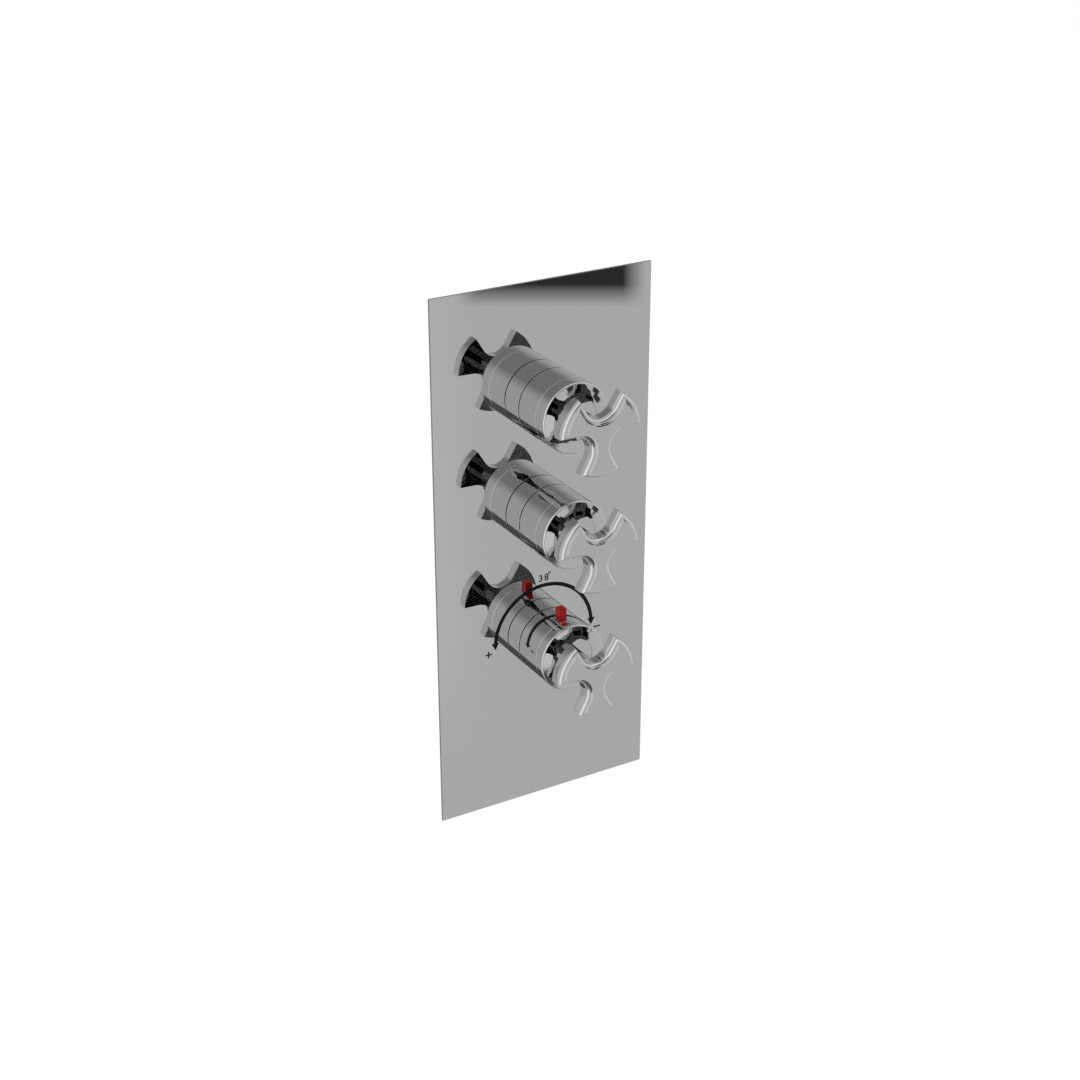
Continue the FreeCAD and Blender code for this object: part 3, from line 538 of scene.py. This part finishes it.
# Each barrel is a turned and chromed cup with a slightly crowned end and a fine groove round it.
# A hub inside fits the spindle's fine teeth, and a key reaches the grub screw from underneath.
bodies = ("flow_control_1", "flow_control_2", "temperature_control")
barrel_fronts = (0.0357, 0.0357, 0.0338)
seam = 0.0009
barrel_wall = 0.0018
barrel_floor = 0.003
hub_radius, hub_out = 0.009, 0.014
socket_radius, socket_end_out = 0.00416, 0.02605
groove_out = 0.0271
groove_share = 0.993
ring_step = 0.0023
crown_radius = 0.225
grub_out, grub_hole_radius = 0.020, 0.0024
key_out = 0.021
key_slot_side = 0.0048
for stem, body, height, collar_front, front in zip(
    stems, bodies, control_heights, collar_fronts, barrel_fronts
):
    back = collar_front + seam
    floor_out = front - barrel_floor
    barrel = round_bar(barrel_radius, back, front, height)
    pick_faces(barrel, lambda middle, normal: normal.y > 0.9)
    bpy.ops.mesh.inset(thickness=barrel_wall)
    bpy.ops.mesh.extrude_region_move(TRANSFORM_OT_translate={"value": (0, back - floor_out, 0)})
    bpy.ops.mesh.inset(thickness=barrel_radius - barrel_wall - hub_radius)
    bpy.ops.mesh.extrude_region_move(TRANSFORM_OT_translate={"value": (0, floor_out - hub_out, 0)})
    bpy.ops.mesh.inset(thickness=hub_radius - socket_radius)
    bpy.ops.mesh.extrude_region_move(
        TRANSFORM_OT_translate={"value": (0, hub_out - socket_end_out, 0)}
    )
    pick_rings(barrel, outside_ring(height, front))
    bpy.ops.mesh.bevel(offset=0.0010, segments=8, affect="EDGES")
    pick_faces(barrel, lambda middle, normal: normal.y < -0.9 and middle.y < -front + 0.00001)
    # Each ring in from the edge stands out a little further, along the crown's curve.
    for ring in range(8, 1, -1):
        rise = (2 * ring - 1) * ring_step ** 2 / (2 * crown_radius)
        bpy.ops.mesh.inset(thickness=ring_step, depth=rise)
    pick_rings(barrel, outside_ring(height, back))
    bpy.ops.mesh.bevel(offset=0.00012, segments=3, affect="EDGES")
    bpy.ops.mesh.select_all(action="SELECT")
    bpy.ops.mesh.bisect(plane_co=(0, -groove_out, height), plane_no=(0, 1, 0))
    pick_rings(barrel, outside_ring(height, groove_out))
    bpy.ops.mesh.bevel(offset=0.00025, segments=2, affect="EDGES")
    pick_rings(barrel, outside_ring(height, groove_out))
    bpy.ops.transform.resize(
        value=(groove_share, 1, groove_share), center_override=(0, -groove_out, height)
    )
    bpy.ops.object.mode_set(mode="OBJECT")
    bpy.ops.mesh.primitive_cylinder_add(
        vertices=48, radius=grub_hole_radius, depth=0.012, location=(0, -grub_out, height - 0.016)
    )
    carve(barrel, bpy.context.object)
    if stem == "temperature":
        bpy.ops.mesh.primitive_cube_add(
            size=1, location=(0, -key_out, height + 0.0195),
            scale=(key_slot_side, key_slot_side, 0.01),
        )
        carve(barrel, bpy.context.object)
    smooth(barrel, 40)
    settle(barrel, stem + "_chrome_barrel", turned_chrome)
    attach(barrel, body)
    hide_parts(stem + "_barrel")

# The handles are cast in brass, ground and chromed: three equal arms with round notches between
# them, a wide rounding all round the front, and a plain neck that screws into the barrel.
head_backs = (0.0535, 0.0535, 0.0516)
head_radius, head_depth = 0.02360, 0.008
head_rounding = 0.0054
rounding_steps, rounding_boxiness = 20, 0.71
neck_radius = 0.0058
star_reach = 0.030
flank_degrees = 28.1
half_notch = math.radians(60) - math.radians(flank_degrees)
notch_radius = 0.0091
notch_middle = notch_radius / math.sin(half_notch)
notch_touch = notch_radius / math.tan(half_notch)


def pick_points(piece, test):
    """Selects the vertices that pass the test, in edit mode."""
    bpy.ops.mesh.select_mode(type="VERT")
    bpy.ops.mesh.select_all(action="DESELECT")
    mesh = bmesh.from_edit_mesh(piece.data)
    for vertex in mesh.verts:
        vertex.select_set(test(vertex.co))
    mesh.select_flush_mode()
    bmesh.update_edit_mesh(piece.data)


def notched_star(back, front, height):
    """A slab wider than the head, with the three notches and their rounding, in object mode."""

    def around(radius, degrees):
        angle = math.radians(degrees)
        return Vector((radius * math.cos(angle), -back, height + radius * math.sin(angle)))

    def near(*targets):
        return lambda point: any((point - target).length < 0.0001 for target in targets)

    right_side, left_side, next_side = 30 + flank_degrees, 150 - flank_degrees, 150 + flank_degrees
    star = stroke_start(around(star_reach, right_side), around(notch_touch, right_side))
    pick_points(star, near(around(notch_touch, right_side)))
    bpy.ops.mesh.spin(
        steps=56, angle=2 * half_notch - math.pi, center=around(notch_middle, 90), axis=(0, 1, 0)
    )
    pick_points(star, near(around(notch_touch, left_side)))
    step = around(star_reach, left_side) - around(notch_touch, left_side)
    bpy.ops.mesh.extrude_region_move(TRANSFORM_OT_translate={"value": step})
    bpy.ops.mesh.select_all(action="SELECT")
    bpy.ops.mesh.spin(
        steps=2, dupli=True, angle=math.radians(240), center=(0, -back, height), axis=(0, 1, 0)
    )
    for turn in (0, 120, 240):
        ends = around(star_reach, left_side + turn), around(star_reach, next_side + turn)
        pick_points(star, near(*ends))
        bpy.ops.mesh.edge_face_add()
    bpy.ops.mesh.select_all(action="SELECT")
    bpy.ops.mesh.edge_face_add()
    bpy.ops.mesh.extrude_region_move(TRANSFORM_OT_translate={"value": (0, back - front, 0)})
    bpy.ops.mesh.select_all(action="SELECT")
    bpy.ops.mesh.normals_make_consistent(inside=False)
    pick_rings(star, lambda point: point.y < -front + 0.00005)
    mesh = bmesh.from_edit_mesh(star.data)
    for edge in mesh.edges:
        if min(from_axis(vertex.co, height) for vertex in edge.verts) > star_reach - 0.0005:
            edge.select_set(False)
    bmesh.update_edit_mesh(star.data)
    bpy.ops.mesh.bevel(
        offset=head_rounding, segments=rounding_steps, profile=rounding_boxiness,
        affect="EDGES", clamp_overlap=False,
    )
    bpy.ops.object.mode_set(mode="OBJECT")
    return star


for stem, body, height, barrel_front, back in zip(
    stems, bodies, control_heights, barrel_fronts, head_backs
):
    front = back + head_depth
    star = notched_star(back, front, height)
    handle = round_bar(head_radius, back, front, height, sides=288)
    pick_rings(handle, lambda point: point.y < -front + 0.00005)
    bpy.ops.mesh.bevel(
        offset=head_rounding, segments=rounding_steps, profile=rounding_boxiness, affect="EDGES"
    )
    bpy.ops.object.mode_set(mode="OBJECT")
    carve(handle, star, "INTERSECT")
    neck = round_bar(neck_radius, barrel_front, back + 0.002, height, sides=96)
    bpy.ops.object.mode_set(mode="OBJECT")
    carve(handle, neck, "UNION")
    smooth(handle, 14)
    settle(handle, stem + "_chrome_handle", mirror_chrome)
    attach(handle, body)
    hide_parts(stem + "_handle")

# A small red key stands in the top of the temperature handle's barrel. It is pressed in to turn
# the handle past the safe temperature.
red_plastic = Surface("red_plastic", specular_ior_level=0.3)
sheen = red_plastic.noise(900.0, 2.0)
red_plastic.set(
    base_color=red_plastic.blend(sheen, (0.30, 0.002, 0.004, 1), (0.38, 0.004, 0.007, 1)),
    roughness=0.2 + sheen * 0.12,
)
key_side, key_length = 0.0046, 0.009
key_top = control_heights[2] + 0.0251
key_foot_share = 1.52
bpy.ops.object.select_all(action="DESELECT")
bpy.ops.mesh.primitive_cube_add(
    size=1, location=(0, -key_out, key_top - key_length / 2), scale=(key_side, key_side, key_length)
)
key = bpy.context.object
bpy.ops.object.transform_apply(location=True, rotation=False, scale=True)
bpy.ops.object.mode_set(mode="EDIT")
bpy.ops.mesh.select_all(action="SELECT")
bpy.ops.mesh.bevel(offset=0.0003, segments=3, affect="EDGES")
pick_faces(key, lambda middle, normal: normal.z < -0.9)
bpy.ops.mesh.extrude_region_move(TRANSFORM_OT_translate={"value": (0, 0, -0.0001)})
bpy.ops.transform.resize(
    value=(key_foot_share, key_foot_share, 1), center_override=(0, -key_out, key_top - key_length)
)
bpy.ops.mesh.extrude_region_move(TRANSFORM_OT_translate={"value": (0, 0, -0.0007)})
bpy.ops.object.mode_set(mode="OBJECT")
smooth(key, 35)
settle(key, "red_stop_key", red_plastic)
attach(key, "stop_key")
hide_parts("stop_button")

# The valve stands in front of a white backdrop, over a pale floor that takes its shadow, in even
# studio light. The polished metal mirrors a white studio with a grey screen and a few dark cards.
def backdrop_finish(name, glow, colour, echo):
    """White to the camera from its front, clear from behind, and plain to the light.

    The echo is the share that shows in mirrors: none for 0, and for 1 a dim sheet with a painted
    contact shadow, darkest close to the plate's edges.
    """
    half_width, half_height = 0.0658, 0.153
    finish = Surface(name)
    camera_ray = finish.node("ShaderNodeLightPath", {}, {})
    mirrored = Reading(finish, camera_ray.socket.node.outputs["Is Glossy Ray"])
    behind = finish.node("ShaderNodeNewGeometry", {}, {}, output="Backfacing")
    shaded = finish.node("ShaderNodeBsdfDiffuse", {}, {"Color": colour})
    white = finish.node("ShaderNodeEmission", {}, {"Color": (1, 1, 1, 1), "Strength": glow})
    seen = finish.node("ShaderNodeAddShader", {}, {0: shaded, 1: white})
    plain = finish.node("ShaderNodeBsdfDiffuse", {}, {"Color": (0.8, 0.8, 0.8, 1)})
    clear = finish.node("ShaderNodeBsdfTransparent", {}, {})
    across = finish.node("ShaderNodeSeparateXYZ", {}, {"Vector": finish.place}, output="X")
    up = finish.node("ShaderNodeSeparateXYZ", {}, {"Vector": finish.place}, output="Y")
    # The sheet seen in mirrors is painted dimmer close to the plate's edges: a painted contact shadow.
    beside = across.math("ABSOLUTE") - half_width
    above = up.math("ABSOLUTE") - half_height
    clearance = (beside.math("MAXIMUM", above) / 0.02).held()
    painted_shadow_echo = finish.node(
        "ShaderNodeEmission", {}, {"Color": (1, 1, 1, 1), "Strength": 0.25 + clearance * 0.3}
    )
    reflected = finish.node("ShaderNodeMixShader", {}, {0: echo, 1: clear, 2: painted_shadow_echo})
    unseen = finish.node("ShaderNodeMixShader", {}, {0: mirrored, 1: plain, 2: reflected})
    front = finish.node("ShaderNodeMixShader", {}, {0: camera_ray, 1: unseen, 2: seen})
    both = finish.node("ShaderNodeMixShader", {}, {0: behind, 1: front, 2: clear})
    finish.tree.links.new(both.socket, finish.tree.nodes["Material Output"].inputs["Surface"])
    return finish.material


bpy.ops.object.select_all(action="DESELECT")
bpy.ops.mesh.primitive_plane_add(size=30, location=(0, 0, -0.45))
floor = bpy.context.object
floor.name = "floor"
floor.data.materials.append(backdrop_finish("pale_floor", 0.78, (0.28, 0.28, 0.28, 1), 0.0))
bpy.ops.mesh.primitive_plane_add(size=8, location=(0, 0.0003, 0), rotation=(math.pi / 2, 0, 0))
backdrop = bpy.context.object
backdrop.name = "backdrop"
backdrop.data.materials.append(backdrop_finish("white_backdrop", 1.0, (0, 0, 0, 1), 1.0))
backdrop.visible_diffuse = False
backdrop.visible_transmission = False
backdrop.visible_shadow = False

bpy.ops.object.light_add(type="AREA", location=(-0.9, -1.2, 1.3))
lamp = bpy.context.object
lamp.name = "soft_lamp"
lamp.rotation_euler = (-lamp.location).to_track_quat("-Z", "Y").to_euler()
lamp.data.size = 0.5
lamp.data.energy = 9.0
lamp.visible_glossy = False

world = bpy.data.worlds.new("studio")
bpy.context.scene.world = world
world.use_nodes = True
studio = Finish(world.node_tree)
aim = studio.node("ShaderNodeTexCoord", {}, {}, output="Generated")


def heading_to(side, rise):
    """The direction so many degrees to the right of -Y and so many up."""
    side, rise = math.radians(side), math.radians(rise)
    level = math.cos(rise)
    return Vector((math.sin(side) * level, -math.cos(side) * level, math.sin(rise)))


def along(direction):
    """How far the view points along one direction."""
    inputs = {0: aim, 1: tuple(direction)}
    return studio.node("ShaderNodeVectorMath", {"operation": "DOT_PRODUCT"}, inputs, output="Value")


def card(left, right, bottom, top, soft):
    """A soft-edged rectangle in the studio, between two side angles and two heights, in degrees."""
    middle = heading_to((left + right) / 2, (bottom + top) / 2)
    across = heading_to((left + right) / 2 + 90, 0)
    up = across.cross(middle)
    up = -up if up.z < 0 else up
    depth = along(middle)
    blur = math.radians(soft)
    half_width = math.tan(math.radians(right - left) / 2)
    half_height = math.tan(math.radians(top - bottom) / 2)
    mask = ((half_width - (along(across) / depth).math("ABSOLUTE")) / blur + 0.5).held()
    mask = mask * ((half_height - (along(up) / depth).math("ABSOLUTE")) / blur + 0.5).held()
    return mask * depth.math("GREATER_THAN", 0.0)


# The mirrored studio is white, darkening straight below, with each card laid over the ones before
# it: a large grey screen, a dark one high in front, and smaller ones lower down.
underfoot = ((along(Vector((0, 0, -1))) - 0.72) / 0.08).held()
mirrored_light = 1.0 - underfoot * 0.88
for left, right, bottom, top, soft, value in (
    (-44, 75, -75, 60, 20, 0.55),
    (-30, 36, 18, 66, 26, 0.27),
    (24, 40, -34, -13, 4, 0.53),
    (8, 25, -30, -10, 5, 0.68),
    (-14, 18, -70, -32, 4, 0.10),
    (27.9, 32.85, -17.86, -12, 0.65, 0.03),
    (34.3, 38.0, -19.2, -12, 0.7, 0.04),
    (40.0, 44.0, -16, -6, 0.8, 0.04),
    (23, 32, -8, 4, 1, 0.04),
):
    laid_over = card(left, right, bottom, top, soft)
    mirrored_light = mirrored_light + (value - mirrored_light) * laid_over
room_light = 0.72
camera_ray = studio.node("ShaderNodeLightPath", {}, {})
glossy_ray = Reading(studio, camera_ray.socket.node.outputs["Is Glossy Ray"])
not_seen = glossy_ray * mirrored_light + (1.0 - glossy_ray) * room_light
background = world.node_tree.nodes["Background"]
studio.feed(background.inputs["Color"], (1, 1, 1, 1))
studio.feed(background.inputs["Strength"], camera_ray + (1.0 - camera_ray) * not_seen)
